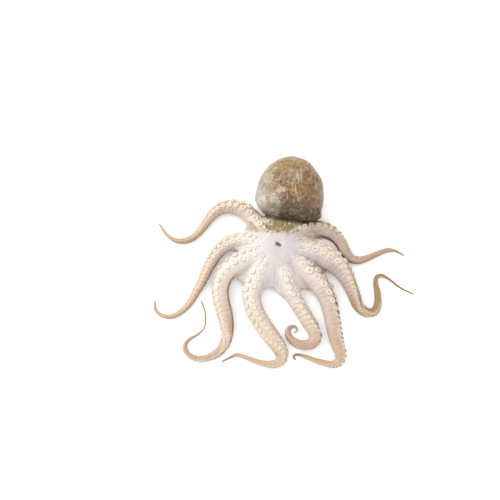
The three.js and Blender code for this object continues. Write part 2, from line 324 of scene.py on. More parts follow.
# %% Grow the eight arms
def grow_arm(arm, name):
    """Extrudes a circle along the arm's route."""
    centre, along, left, half = arm.at(0)
    heading = math.atan2(along.y, along.x)
    deselect_all()
    bpy.ops.mesh.primitive_circle_add(
        vertices=SIDES, radius=half * MM, fill_type="NGON", location=centre * MM,
        rotation=(math.pi / 2, 0, heading + math.pi / 2))
    piece = bpy.context.active_object
    piece.name = name
    keep_place_in_mesh(piece)
    bpy.ops.object.mode_set(mode="EDIT")
    bpy.ops.mesh.select_all(action="SELECT")
    bpy.ops.transform.resize(value=(1, 1, ARM_HEIGHT), center_override=centre * MM)
    distance = 0
    while distance < arm.length:
        distance = min(arm.length, distance + max(SMALLEST_STEP, 2 * half * STEP_SHARE))
        last_centre, last_heading, last_half = centre, heading, half
        centre, along, left, half = arm.at(distance)
        heading = math.atan2(along.y, along.x)
        turn = math.remainder(heading - last_heading, math.tau)
        bpy.ops.mesh.extrude_region_move(
            TRANSFORM_OT_translate={"value": (centre - last_centre) * MM})
        bpy.ops.transform.rotate(value=-turn, orient_axis="Z", center_override=centre * MM)
        shrink = half / last_half
        bpy.ops.transform.resize(value=(shrink, shrink, shrink), center_override=centre * MM)
    bpy.ops.object.mode_set(mode="OBJECT")
    press_flat(piece)
    return piece


arm_pieces = [grow_arm(arm, f"arm_{number}") for number, arm in enumerate(ARMS, 1)]
print("arms:", [len(piece.data.vertices) for piece in arm_pieces], "points")

# %% [markdown]
# ## The crown
#
# Round the mouth the arms grow together in a soft mound, and a thin web joins their
# roots. It starts as a filled circle that is inset again and again, so that it has rings
# from the margin to the middle, and is extruded down to give it a thickness. Each point
# is then drawn out to the web's margin in its own direction and raised to the mound's
# height, which no operator does in one go.

# %% Crown and web
# Direction in degrees from +X and distance from the mouth to the margin, in mm
WEB_MARGIN = [
    (-180, 46), (-175, 40), (-157, 58), (-143, 50.5), (-134, 49), (-126, 52), (-98, 40), (-80, 52),
    (-62, 46.5), (-44, 60), (-27, 52), (-9, 64), (0, 66), (8, 60), (18, 50), (40, 36),
    (76, 30), (110, 34), (128, 42), (152, 38), (180, 46),
]
CROWN_TOP = 22.5
MOUTH_DIP = 1.6
LIP_HEIGHT = 0.7
LIP_RADIUS = 4.6
LIP_WIDTH = 1.6
WEB_TOP = 4.5
WEB_UNDERSIDE = 2.0
SLOPE_START = 6
SLOPE_END = 60
CROWN_SPOKES = 144
CROWN_INSETS = [0.05, 0.08, 0.1, 0.1, 0.1, 0.1, 0.1, 0.1, 0.1, 0.07, 0.05]


def margin_at(degrees):
    """Distance to the web's margin, easing from one listed direction to the next."""
    for (angle_a, reach_a), (angle_b, reach_b) in zip(WEB_MARGIN, WEB_MARGIN[1:]):
        if degrees <= angle_b:
            return reach_a + (reach_b - reach_a) * smooth(angle_a, angle_b, degrees)
    return WEB_MARGIN[-1][1]


def crown_height(radius):
    slope = 1 - smooth(SLOPE_START, SLOPE_END, radius)
    dip = MOUTH_DIP * (1 - smooth(0, SLOPE_START, radius))
    lip = LIP_HEIGHT * math.exp(-((radius - LIP_RADIUS) / LIP_WIDTH) ** 2)
    return WEB_TOP + (CROWN_TOP - WEB_TOP) * slope - dip + lip


def shape_crown(point):
    """Takes a point of the flat disc, of radius 1 and thickness 1, to its real place."""
    share = math.hypot(point.x, point.y)
    angle = math.atan2(point.y, point.x)
    radius = share * margin_at(math.degrees(angle))
    if point.z > -0.5:
        height = crown_height(radius)
    else:
        height = WEB_UNDERSIDE * smooth(0.75, 1, share)
    return Vector((radius * math.cos(angle), radius * math.sin(angle), height)) * MM


deselect_all()
bpy.ops.mesh.primitive_circle_add(vertices=CROWN_SPOKES, radius=1, fill_type="NGON")
crown = bpy.context.active_object
crown.name = "crown"
bpy.ops.object.mode_set(mode="EDIT")
bpy.ops.mesh.select_all(action="SELECT")
for width in CROWN_INSETS:
    bpy.ops.mesh.inset(thickness=width, use_even_offset=False)
bpy.ops.mesh.poke()
bpy.ops.mesh.select_all(action="SELECT")
bpy.ops.mesh.extrude_region_move(TRANSFORM_OT_translate={"value": (0, 0, -1)})
bpy.ops.object.mode_set(mode="OBJECT")
for vertex in crown.data.vertices:
    vertex.co = shape_crown(vertex.co)
press_flat(crown)
print("crown:", len(crown.data.vertices), "points")

# %% [markdown]
# ## Mantle and head
#
# The mantle is the bag behind the arms. It starts as a ball. A formula fills the ball
# out below and at its right-hand corner, as a soft bag settles on a table. The ball is
# then stretched to the mantle's size, shorter towards the neck, and proportional
# editing pulls its lower corners, as on soft clay. The broad head joins it to the crown.

# %% Mantle and head
MANTLE_CENTRE = Vector((11.7, 50.7, 19.5))
MANTLE_HALF_WIDTH = 33.5
MANTLE_TO_TIP = 41
MANTLE_TO_NECK = 24.6
MANTLE_HALF_HEIGHT = 21.8
MANTLE_LEAN = math.radians(-5)
# How square the ball is made below and at its corner; 2 leaves it round
SLUMP = 2.7
CORNER = 3
# Pulls on the mantle: lowest and highest x, y, z of the points held, how far they are
# moved and how wide the pull reaches
MANTLE_PULLS = [
    ((22, -18, -6), (99, -10, 8), (0.4, -0.6, 0), 20),
    ((14, -99, -6), (99, -19, 8), (5, 0, 0), 11),
    ((-99, -16, -8), (-25, -6, 8), (-1.2, -2, 0), 14),
]
HEAD_CENTRE = Vector((5, 22, 6))
HEAD_SIZE = Vector((50, 36, 24))


def add_ball(name, centre, size):
    deselect_all()
    bpy.ops.mesh.primitive_uv_sphere_add(segments=64, ring_count=40, radius=0.5 * MM)
    ball = bpy.context.active_object
    ball.name = name
    ball.scale = size
    keep_place_in_mesh(ball)
    ball.location = centre * MM
    return ball


def within(point, low, high):
    return all(a < value < b for a, value, b in zip(low, point, high))


def slump(point):
    """Fills out the mantle's lower half, as its weight does: point is on the unit ball."""
    scale = 1
    if point.z < 0:
        depth = min(0.999, -point.z)
        scale = (1 - depth ** SLUMP) ** (1 / SLUMP) / math.sqrt(1 - depth ** 2)
    if point.x > 0 and point.y < 0:
        scale *= math.hypot(point.x, point.y)
        scale /= (point.x ** CORNER + (-point.y) ** CORNER) ** (1 / CORNER)
    return Vector((point.x * scale, point.y * scale, point.z))


mantle = add_ball("mantle", Vector((0, 0, 0)), Vector((2, 2, 2)))
for vertex in mantle.data.vertices:
    vertex.co = slump(vertex.co / MM) * MM
make_active(mantle)
bpy.ops.transform.resize(value=(MANTLE_HALF_WIDTH, MANTLE_TO_TIP, MANTLE_HALF_HEIGHT))
keep_place_in_mesh(mantle)
select_points(mantle, lambda point: point.y < 0)
bpy.ops.transform.resize(value=(1, MANTLE_TO_NECK / MANTLE_TO_TIP, 1), center_override=(0, 0, 0))
bpy.ops.object.mode_set(mode="OBJECT")
for low, high, shift, width in MANTLE_PULLS:
    select_points(mantle, lambda point: within(point, low, high))
    bpy.ops.transform.translate(value=Vector(shift) * MM, proportional_size=width * MM,
                                use_proportional_edit=True, proportional_edit_falloff="SMOOTH")
    bpy.ops.object.mode_set(mode="OBJECT")
for vertex in mantle.data.vertices:
    vertex.co = Matrix.Rotation(MANTLE_LEAN, 3, "Z") @ vertex.co + MANTLE_CENTRE * MM
press_flat(mantle)
mantle_tree = surface(mantle)

head = add_ball("head", HEAD_CENTRE, HEAD_SIZE)
keep_place_in_mesh(head)
press_flat(head)
print("mantle and head:", len(mantle.data.vertices) + len(head.data.vertices), "points")

# %% [markdown]
# ## One skin
#
# The parts are joined, the mouth is cut, and a voxel remesh walks over the whole outside
# and leaves one closed surface without seams. A smoothing pass then melts the corners
# where arms, web and mantle meet. It is held back on the thin tips, which it would
# eat away.

# %% Join and remesh
VOXEL = 0.6 * MM
MELT_STEPS = 14
MOUTH_SIZE = Vector((6.6, 2.7, 7))
MOUTH_SLANT = math.radians(-28)


def use_modifier(piece, kind, **settings):
    """Adds a modifier, sets it and applies it."""
    make_active(piece)
    modifier = piece.modifiers.new(kind.lower(), kind)
    for name, value in settings.items():
        setattr(modifier, name, value)
    bpy.ops.object.modifier_apply(modifier=modifier.name)


mouth = add_ball("mouth", Vector((0, 0, CROWN_TOP - MOUTH_DIP)), MOUTH_SIZE)
mouth.rotation_euler.z = MOUTH_SLANT
keep_place_in_mesh(mouth)
use_modifier(crown, "BOOLEAN", operation="DIFFERENCE", object=mouth, solver="EXACT")
bpy.data.objects.remove(mouth)

deselect_all()
for piece in (*arm_pieces, mantle, head, crown):
    piece.select_set(True)
bpy.context.view_layer.objects.active = crown
bpy.ops.object.join()
skin = bpy.context.active_object
skin.name = "octopus_skin"
skin.data.name = "octopus_skin"
use_modifier(skin, "REMESH", mode="VOXEL", voxel_size=VOXEL)
print("skin:", len(skin.data.vertices), "points,", len(skin.data.polygons), "faces")


# %% Where each point lies on the animal
SAMPLE_STEP = 2.0
# Points that are looked up at a time, which keeps the memory small
BLOCK = 4000


def coordinates(piece):
    flat = np.empty(len(piece.data.vertices) * 3)
    piece.data.vertices.foreach_get("co", flat)
    return flat.reshape(-1, 3) / MM


def normals(piece):
    flat = np.empty(len(piece.data.vertices) * 3)
    piece.data.vertices.foreach_get("normal", flat)
    return flat.reshape(-1, 3)


def move_points(piece, places):
    piece.data.vertices.foreach_set("co", (places * MM).ravel())
    piece.data.update()


class ArmMap:
    """For every point: its arm, the distance along it, and its place round the arm."""

    def __init__(self, points):
        rows = []
        for number, arm in enumerate(ARMS):
            for distance in np.arange(0, arm.length, SAMPLE_STEP):
                centre, along, left, half = arm.at(distance)
                rows.append((*centre, *left, half, distance, distance / arm.length, number,
                             arm.roll_at(distance)))
        rows = np.array(rows, np.float32)
        nearest = np.empty(len(points), int)
        for start in range(0, len(points), BLOCK):
            block = points[start:start + BLOCK].astype(np.float32)
            gaps = np.linalg.norm(block[:, None, :] - rows[None, :, :3], axis=2) - rows[:, 6]
            nearest[start:start + BLOCK] = gaps.argmin(1)
        row = rows[nearest]
        self.half, self.distance, self.share = row[:, 6], row[:, 7], row[:, 8]
        self.number, roll = row[:, 9].astype(int), row[:, 10]
        offset = points - row[:, :3]
        sideways = (offset * row[:, 3:6]).sum(1) / self.half
        upwards = offset[:, 2] / (self.half * ARM_HEIGHT)
        self.reach = np.hypot(sideways, upwards)
        self.upright = np.arctan2(sideways, upwards)
        self.round = (self.upright - roll + math.pi) % math.tau - math.pi


def mantle_gap(points):
    """How far each point is outside the mantle, in millimetres; below 0 it is inside."""
    gaps = np.empty(len(points))
    for number, point in enumerate(points):
        spot, normal, face, gap = mantle_tree.find_nearest(Vector(point) * MM)
        outside = (Vector(point) * MM - spot).dot(normal) > 0
        gaps[number] = (gap if outside else -gap) / MM
    return gaps


points = coordinates(skin)
place = ArmMap(points)
print("mapped", len(points), "points")


# %% Melt the joins, but not the tips
thick = skin.vertex_groups.new(name="thick")
weights = np.round(smooth(1.5, 5, place.half), 1)
for level in np.unique(weights):
    thick.add(np.flatnonzero(weights == level).tolist(), float(level), "REPLACE")
use_modifier(skin, "SMOOTH", factor=0.5, iterations=MELT_STEPS, vertex_group="thick")
skin.vertex_groups.clear()
print("melted")

# %% [markdown]
# ## Where the suckers stand
#
# An octopus has two rows of suckers on each arm, and they take turns: left, right, left.
# They are small at the mouth, largest a fifth of the way out and then shrink with the
# arm until they are hardly grains. A rule gives each one its place on the arm, and a
# ray shot at the arm from outside finds the skin there.

# %% Sucker places
# The largest sucker's width as a share of the arm's width, arm by arm
SUCKER_SHARE = np.array([0.3, 0.28, 0.36, 0.34, 0.31, 0.3, 0.34, 0.36])
# How much of that is missing at the mouth, and further out on the arm
MOUTH_TAPER = 0.4
SUCKER_TAPER = 0.3
# The angle from the arm's middle line to each row, and the step in sucker widths
SUCKER_SPREAD = math.radians(25)
SUCKER_STEP = 0.66
FIRST_SUCKER = 17
SMALLEST_SUCKER = 0.8
SIZE_CHANGE = 0.08
LEAN_CHANGE = 0.07
# Suckers of two arms keep this share of their widths between their middles
ROOM_BETWEEN = 0.55
CLEAR_OF_MANTLE = 2.5


def has_room(spot, width, number, found, centre, half):
    """Whether a sucker here is on its own arm, clear of the mantle and of other arms' suckers."""
    crown = 1 - smooth(35, 55, math.hypot(spot.x, spot.y))
    if (spot - centre).length > 1.25 * half + 8 * crown + 0.3:
        return False
    if mantle_gap([spot])[0] < CLEAR_OF_MANTLE or spot.z < width / 2:
        return False
    return all((spot - other).length > ROOM_BETWEEN * (width + other_width)
               for other, _, other_width, other_number in found if other_number != number)


def sucker_places(tree):
    """Centre and direction on the skin, diameter and arm for every sucker, in millimetres."""
    chance = np.random.default_rng(8)
    found = []
    for number, arm in enumerate(ARMS):
        distance, side = 0.0, 1
        while distance < arm.length:
            centre, along, left, half = arm.at(distance)
            radius = math.hypot(centre.x, centre.y)
            width = 2 * half * SUCKER_SHARE[number]
            width *= 1 - MOUTH_TAPER * (1 - smooth(15, 38, radius))
            width *= 1 - SUCKER_TAPER * smooth(45, 100, distance)
            if distance > 0.3 * arm.length and width < SMALLEST_SUCKER:
                break
            turn = arm.roll_at(distance) + side * SUCKER_SPREAD
            outward = left * math.sin(turn) + Vector((0, 0, math.cos(turn)))
            start = (centre + outward * (half + 7)) * MM
            hit, normal, face, reach = tree.ray_cast(start, -outward)
            width *= 1 + SIZE_CHANGE * chance.uniform(-1, 1)
            lean = Vector(chance.normal(0, LEAN_CHANGE, 3))
            if radius > FIRST_SUCKER and hit and has_room(hit / MM, width, number, found, centre, half):
                facing = (normal * 0.6 + outward * 0.4 + lean).normalized()
                found.append((hit / MM, facing, width, number))
            distance += SUCKER_STEP * max(width, SMALLEST_SUCKER)
            side = -side
    return found


first_places = sucker_places(surface(skin))
print("suckers:", len(first_places))

# %% [markdown]
# ## Relief of the skin
#
# Smooth clay isn't skin. The arms have a shallow groove between the two rows, each
# sucker stands on a low mound, and the flanks are ribbed across. Fine folds run out over
# the web, and the mantle is lumpy and slack. All of this moves the points of the mesh
# along their normals, so it shows in the outline too.

# %% Relief
# Heights in millimetres; a sucker's mound is a share of the sucker's width
MOUND_SHARE = 0.125
GROOVE = 0.35
GROOVE_WIDTH = 0.28
RIB = 0.34
RIB_PITCH = 3.4
FLANK_TURN = 1.15
FLANK_WIDTH = 0.5
WEB_FOLD = 0.35
WEB_FOLDS = 46
MANTLE_LUMP = 0.7
MANTLE_WRINKLE = 0.45
MANTLE_PEBBLE = 0.28
SKIN_GRAIN = 0.12


def noise_field(points, size, seed):
    """Smooth noise from about -1 to 1, whose blobs are size wide."""
    shift = Vector((13.7, 5.1, 9.3)) * seed
    return np.array([noise.noise(Vector(point) / size + shift) for point in points])


def mounds(points, places):
    """Height of the low mounds under the suckers."""
    height = np.zeros(len(points))
    for centre, facing, width, number in places:
        near = np.flatnonzero((abs(points - np.array(centre)) < width).all(1))
        gap = np.linalg.norm(points[near] - np.array(centre), axis=1)
        rise = MOUND_SHARE * width * np.exp(-(gap / (0.55 * width)) ** 2)
        height[near] = np.maximum(height[near], rise)
    return height


def relief(points, place):
    """How far each point moves out along its normal, in millimetres."""
    x, y, z = points.T
    on_mantle = 1 - smooth(0.5, 3, mantle_gap(points))
    off_mantle = 1 - on_mantle
    radius = np.hypot(x, y)
    wobble = noise_field(points, 6, 1)
    groove = np.exp(-(place.round / GROOVE_WIDTH) ** 2)
    groove *= smooth(16, 32, radius) * (1 - smooth(0.8, 0.95, place.share))
    flank = np.exp(-((abs(place.round) - FLANK_TURN) / FLANK_WIDTH) ** 2)
    ribs = np.sin(math.tau * place.distance / RIB_PITCH + 1.5 * wobble)
    ribs *= flank * smooth(25, 50, place.distance) * (1 - smooth(0.65, 0.85, place.share))
    web = band(9, 18, 36, 50, radius) * smooth(6, 9, z)
    folds = np.sin(np.arctan2(y, x) * WEB_FOLDS + 3 * wobble)
    folds *= web * (0.6 + 0.8 * noise_field(points, 9, 2))
    move = off_mantle * (RIB * ribs - GROOVE * groove + WEB_FOLD * folds)
    move += on_mantle * (MANTLE_LUMP * noise_field(points, 17, 3)
                         + MANTLE_WRINKLE * noise_field(points * (1, 0.4, 1), 4.5, 4)
                         + MANTLE_PEBBLE * noise_field(points, 1.9, 6))
    move += SKIN_GRAIN * noise_field(points, 3, 5)
    move += off_mantle * mounds(points, first_places)
    return move * smooth(0.3, 2.5, z) * smooth(0.6, 3, place.half)


place = ArmMap(coordinates(skin))
points = coordinates(skin)
points += normals(skin) * relief(points, place)[:, None]
points[:, 2] = np.maximum(points[:, 2], 0)
move_points(skin, points)
print("relief done")

# %% Fewer faces
MOST_TRIANGLES = 197000
triangles = 2 * len(skin.data.polygons)
use_modifier(skin, "DECIMATE", ratio=min(1, MOST_TRIANGLES / triangles))
print("skin:", triangles, "triangles made", len(skin.data.polygons))

# %% [markdown]
# ## Painting the skin
#
# The colour of raw octopus is in thin layers: bare cream flesh on the side of the
# suckers, a lilac tint on the flanks and the web, tan to ochre towards the tips, and
# brown skin full of fine dark dots on the back and the mantle. Light and shade are
# painted in as well: lilac shade in the web's valleys, tan and brown on the sides of
# the arms away from the light, dark shade where arms 1 and 2 meet and in the crease
# under the mantle, a pale grey that lifts the shade between arms 1 and 2, olive shadow
# in the web beside the right-hand arms, and a pale highlight down the mantle's left
# side. Each layer is laid over the one before by a mask that says where it lies. A mask
# is made of measures of the point: how far it is from the mouth, along its arm and
# round it, with some noise so that no edge is clean. The result is kept on the points
# as colour attributes.

# %% Paint helpers
BRIGHTNESS = 1.38


def linear(red, green, blue):
    """Takes a colour as it looks on screen, 0 to 255, to the paint that looks so in this light."""
    value = np.array((red, green, blue)) / 255
    light = np.where(value < 0.04045, value / 12.92, ((value + 0.055) / 1.055) ** 2.4)
    return light / BRIGHTNESS


class Paint:
    """The colours of a number of points, on which layers are laid."""

    def __init__(self, colour, count):
        self.colours = np.tile(colour, (count, 1))

    def lay(self, colour, mask):
        """Lays a screen colour over the paint where the mask is 1."""
        mask = np.clip(mask, 0, 1)[:, None]
        self.colours = self.colours * (1 - mask) + linear(*colour) * mask


def keep_colour(piece, name, values):
    """Stores a colour for each point as an attribute."""
    attribute = piece.data.color_attributes.new(name=name, type="FLOAT_COLOR", domain="POINT")
    rows = np.ones((len(values), 4), np.float32)
    rows[:, :3] = values
    attribute.data.foreach_set("color", rows.ravel())


# %% Colours and their places
CREAM = (255, 244, 232)
WEB_PALE = (233, 224, 221)
PAINTED_GAP_LIGHT = (246, 236, 222)
LILAC = (191, 172, 176)
BLUSH = (234, 203, 172)
TAN = (212, 176, 130)
OCHRE = (180, 140, 70)
BACK_TAN = (176, 134, 82)
BACK_BROWN = (128, 92, 52)
ROSE_TAN = (196, 162, 146)
OLIVE_TAN = (204, 178, 134)
OLIVE_BROWN = (150, 112, 52)
CREVICE_SHADE_RED = (88, 46, 26)
OLIVE = (190, 163, 98)
OLIVE_DARK = (96, 78, 34)
MANTLE_BROWN = (146, 99, 26)
MANTLE_DARK = (94, 58, 18)
MANTLE_PALE = (192, 158, 102)
MANTLE_HIGHLIGHT = (158, 150, 136)
MANTLE_RAY = (220, 198, 164)
CREASE_SKIN_AND_SHADE = (38, 30, 4)
MOUTH_EDGE = (226, 218, 198)
MOUTH_DARK = (168, 158, 134)
# Dabs of paint on the mantle: x, y, half width, half length, colour and strength
# The first three dabs and the fifth are a painted highlight down the mantle's left side; the second
# also lifts the shade low on that side
MANTLE_DABS = [
    (-18, 40, 7, 18, (184, 180, 168), 0.85),
    (-16, 40, 8, 8, (222, 214, 196), 0.8),
    (-5, 36, 7, 12, (216, 206, 188), 0.9),
    (-10.5, 44, 2.6, 11, (190, 148, 122), 0.6),
    (-11, 64, 6, 9, (176, 176, 146), 0.6),
    (1.5, 50, 5, 3.4, (214, 196, 170), 0.85),
    (1.5, 45.5, 3.6, 2.8, (158, 130, 104), 0.7),
    (6.5, 40.5, 3.2, 3.2, (112, 66, 40), 0.75),
    (10, 38, 2.4, 9, (92, 66, 36), 0.5),
    (22.5, 38, 3, 5, (104, 80, 72), 0.65),
    (26, 56, 10, 15, (138, 92, 30), 0.6),
    (14, 66, 12, 8, (168, 150, 122), 0.55),
    (42, 48, 4, 22, (132, 118, 80), 0.6),
]
# Olive shadows in the web beside the right-hand arms: x, y, half width, half length, slope
# and strength
OLIVE_DABS = [
    (31, 10, 9, 2.4, -0.25, 0.75),
    (33, -18, 6, 3, -1.1, 0.6),
]
# How tanned each arm is, from 0 for cream to 1, and how much lilac lies on its flanks and, as painted
# shade, in the web's valleys beside it
ARM_TAN = np.array([1.0, 0.7, 0.35, 0.08, 0.12, 0.28, 0.55, 0.75])
ARM_LILAC = np.array([0.9, 0.9, 0.55, 0.3, 0.25, 0.3, 0.5, 0.5])
# How brown each arm's back is where it shows, and its last stretch
ARM_BACK = np.array([0.3, 1.0, 0.35, 0.4, 0.35, 0.6, 0.6, 0.6])
ARM_TIP = np.array([0.4, 0.2, 0.75, 0.35, 0.5, 0.5, 0.2, 0.2])
# How strong the painted shade line is along each arm's right-hand foot, away from the light, and the
# olive one on its left
ARM_SHADE_LINE = np.array([0.8, 0.7, 0.6, 0.6, 0.15, 1.0, 0.5, 0.4])
ARM_EDGE = np.array([0.26, 0.55, 0.5, 0.1, 0.0, 0.0, 0.0, 0.0])
MOUTH_OVAL = 2.2


# %% Measures that the masks are made of
points = coordinates(skin)
place = ArmMap(points)
facing = normals(skin)
x, y, z = points.T
radius = np.hypot(x, y)


def from_mouth(start, end):
    """0 up to start and 1 from end, in millimetres from the mouth."""
    return smooth(start, end, radius)


def from_root(start, end):
    """0 up to start and 1 from end, in millimetres along the arm."""
    return smooth(start, end, place.distance)


def to_tip(start, end):
    """0 up to start and 1 from end, along the arm's length from 0 to 1."""
    return smooth(start, end, place.share)


def is_arm(number):
    return place.number == number - 1


blotch = noise_field(points, 9, 11)
cloud = noise_field(points, 20, 12)
fine = noise_field(points, 3, 13)
gap = mantle_gap(points)
on_mantle = 1 - smooth(0.8, 2.4, gap + 0.6 * fine)
on_arm = 1 - smooth(1.12, 1.25, place.reach)
out = from_mouth(20, 48)
off_web = from_mouth(42, 62)
turn = abs(place.round)
left, right = place.upright, -place.upright
# How far a point lies towards an arm's underside, counted further on right-hand sides that face away
# from the light on the left; it places painted shade below
low = abs(place.upright) + 0.45 * facing[:, 0] + 0.12 * blotch
tan, lilac, back = ARM_TAN[place.number], ARM_LILAC[place.number], ARM_BACK[place.number]
print("measured", len(points), "points")

# %% Flesh, tan and lilac on all arms, with painted shade in the web's valleys and on the flanks away from the light
paint = Paint(linear(*CREAM), len(points))
paint.lay(BLUSH, out * (0.3 * tan + 0.75 * to_tip(0.12, 0.5) + 0.12 * blotch))
paint.lay(TAN, out * (0.55 * tan * tan + 0.5 * to_tip(0.45, 0.9) * (0.5 + 0.7 * tan)))
paint.lay(OCHRE, to_tip(0.45, 0.9) * (0.1 + 0.55 * back) * (0.8 + 0.5 * cloud))
flank = smooth(0.6, 1.1, turn) * (1 - to_tip(0.5, 0.75))
paint.lay(LILAC, flank * lilac * (0.75 + 0.35 * blotch) * from_mouth(14, 26))
web = 1 - from_mouth(14, 30) + 0.8 * (1 - from_mouth(34, 52)) * smooth(0.9, 1.2, place.reach)
paint.lay(WEB_PALE, 0.85 * web)
paint.lay(LILAC, (0.22 + 0.15 * blotch) * (1 - smooth(10, 26, radius - 0.3 * x)))
# Painted shade: lilac in the web's valleys between the arms
valley_shade = smooth(1.0, 1.25, place.reach) * band(16, 26, 46, 60, radius)
paint.lay(LILAC, (0.12 + 0.75 * lilac) * valley_shade * np.clip(0.7 + blotch, 0, 1))
# Tan low on the arms' flanks, reaching higher on the right-hand sides as painted shade away from the
# light
shaded_flank = smooth(0.9, 1.5, low) * smooth(0.6, 0.9, place.reach) * off_web * on_arm
paint.lay(TAN, shaded_flank * (0.45 + 0.3 * tan))
back_side = smooth(0.75, 1.3, turn + 0.15 * blotch) * from_root(70, 105) * on_arm
paint.lay(BACK_TAN, 0.8 * back * back_side)
print("flesh")

# %% What only some arms have
crest = smooth(-0.1, 0.5, left) * band(18, 30, 66, 92, place.distance) * on_arm * is_arm(1)
paint.lay(OLIVE_TAN, (0.6 + 0.4 * fine) * crest)
bent = from_root(72, 108)
inner = smooth(0.9 - 1.1 * bent, 1.1 - 0.6 * bent, left + 0.1 * fine) * from_root(60, 80)
inner = np.maximum(inner, to_tip(0.84, 0.95))
paint.lay(OLIVE_BROWN, 0.8 * np.maximum(inner, 0.35 * bent) * on_arm * is_arm(2))
paint.lay(BACK_BROWN, to_tip(0.86, 0.97) * ARM_TIP[place.number])
paint.lay(ROSE_TAN, 0.7 * from_root(82, 100) * is_arm(4) + 0.5 * from_root(60, 85) * is_arm(1))
print("single arms")

# %% Undersides, and painted shade: brown lines at the arms' shaded feet, dark red-brown between arms 1 and 2, and a pale grey that lifts the shade there
# Brown of the arms' undersides, the real colour of their backs, which reaches higher up the right-hand
# sides as painted shade away from the light
under = smooth(1.65, 2.05, low) * smooth(0.8, 1.3, turn)
under *= smooth(0.7, 1.0, place.reach) * off_web * on_arm
downward = 1 - smooth(-0.5, 0.1, facing[:, 2])
under = np.maximum(under, downward * (1 - on_mantle) * smooth(0.2, 2, place.half))
paint.lay(BACK_BROWN, 0.85 * under)
# Painted shade: a brown line along each arm's foot, mostly on its right-hand, lower side, away from the
# light
shade_line = smooth(1.18, 1.36, low - 0.5 * facing[:, 1] * is_arm(1)) * off_web * on_arm
paint.lay(BACK_BROWN, shade_line * ARM_SHADE_LINE[place.number] * (0.8 + 0.6 * fine))
edge = smooth(0.95, 1.25, left + 0.1 * fine) * ARM_EDGE[place.number] * on_arm
edge *= from_mouth(26, 40) * (1 - to_tip(0.5, 0.7))
paint.lay(OLIVE_DARK, edge * np.clip(0.6 + 1.2 * fine, 0, 1))
# Painted light: a pale grey, lighter than the web, on the lower flanks and the web between arms 1 and
# 2, that lifts the shade in the narrow gap
between = np.maximum(smooth(0.95, 1.1, left) * is_arm(2), smooth(1.3, 1.42, right) * is_arm(1))
paint.lay(PAINTED_GAP_LIGHT, 0.9 * between * band(37, 42, 62, 70, radius))
# Painted shadow: dark red-brown on arm 1's side that faces arm 2, deep in the gap between them, and in
# the fold beside arm 1's root
fold = band(1.05, 1.2, 1.3, 1.45, right) * (1 - from_mouth(40, 47))
crevice_shade = np.maximum(smooth(1.0, 1.2, right) * on_arm, fold)
paint.lay(CREVICE_SHADE_RED, 0.92 * crevice_shade * band(35, 39, 66, 76, radius) * is_arm(1))
print("shadows")

# %% Olive skin between the crown and the mantle, and painted olive shadows in the web
specks = noise_field(points * (1, 0.45, 1), 1.5, 17)
from_middle = abs(x - 6)
rim = smooth(9, 15.5, y - 0.1 * from_middle + 2 * fine + 3 * specks)
rim *= (1 - smooth(28, 40, from_middle)) * (1 - on_mantle)
sucker_side = smooth(0.2, 0.6, np.cos(place.round)) * from_mouth(22, 30)
rim *= 1 - 0.85 * sucker_side * smooth(2.5, 6, gap)
paint.lay(OLIVE, 0.9 * rim)
paint.lay(OLIVE_DARK, 0.6 * rim * smooth(0.0, 0.35, specks + 0.4 * blotch))
# Painted olive shadows in the web beside the right-hand arms
for dab_x, dab_y, half_width, half_length, slope, strength in OLIVE_DABS:
    across = y - dab_y - slope * (x - dab_x) + 1.2 * fine
    away = np.hypot((x - dab_x) / half_width, across / half_length)
    paint.lay(OLIVE, strength * (1 - smooth(0.5, 1.3, away)) * (1 - on_mantle))
print("olive skin")

# %% The mantle, with a painted highlight down its left side
spots = noise_field(points, 2.6, 15)
streaks = noise_field(points * (1, 0.16, 0.4), 2.2, 14)
rays = noise_field(points * (1, 0.1, 0.3), 1.3, 16)
hide = Paint(linear(*MANTLE_BROWN), len(points))
hide.lay(MANTLE_DARK, 0.5 * smooth(0.0, 0.5, cloud) + 0.5 * smooth(0.1, 0.5, blotch))
hide.lay(MANTLE_DARK, 0.7 * smooth(0.1, 0.45, spots))
hide.lay(MANTLE_PALE, 0.5 * smooth(0.1, 0.45, -spots))
hide.lay(MANTLE_PALE, 0.6 * smooth(0.12, 0.5, streaks) * smooth(-0.2, 0.4, blotch + cloud))
hide.lay(MANTLE_PALE, 0.5 * smooth(0.2, 0.6, -cloud))
# Painted highlight: a pale grey band down the mantle's left side, which faces the light
from_left = MANTLE_CENTRE.x - x + 0.2 * (y - MANTLE_CENTRE.y)
left_highlight = smooth(18, 30, from_left + 5 * blotch + 3 * spots) * smooth(4, 12, z)
hide.lay(MANTLE_HIGHLIGHT, (0.85 + 0.2 * spots) * left_highlight)
far_end = smooth(14, 32, y - MANTLE_CENTRE.y + 5 * blotch) * smooth(8, 18, z)
hide.lay(MANTLE_PALE, 0.5 * far_end)
ragged_x, ragged_y = 1.6 * fine + 1.2 * spots, 2.2 * blotch + 1.2 * spots
# The dabs, among them the painted highlight on the mantle's left side
for dab_x, dab_y, half_width, half_length, colour, strength in MANTLE_DABS:
    away = np.hypot((x - dab_x + ragged_x) / half_width, (y - dab_y + ragged_y) / half_length)
    hide.lay(colour, strength * (1 - smooth(0.6, 1.25, away)) * smooth(2, 9, z))
ray_window = (1 - smooth(5, 9, abs(x - 14 - 0.12 * (y - 40)))) * band(22, 32, 66, 76, y)
hide.lay(MANTLE_RAY, 0.8 * smooth(0.1, 0.35, rays) * ray_window * smooth(20, 26, z))
paint.colours += (hide.colours - paint.colours) * on_mantle[:, None]
print("mantle")

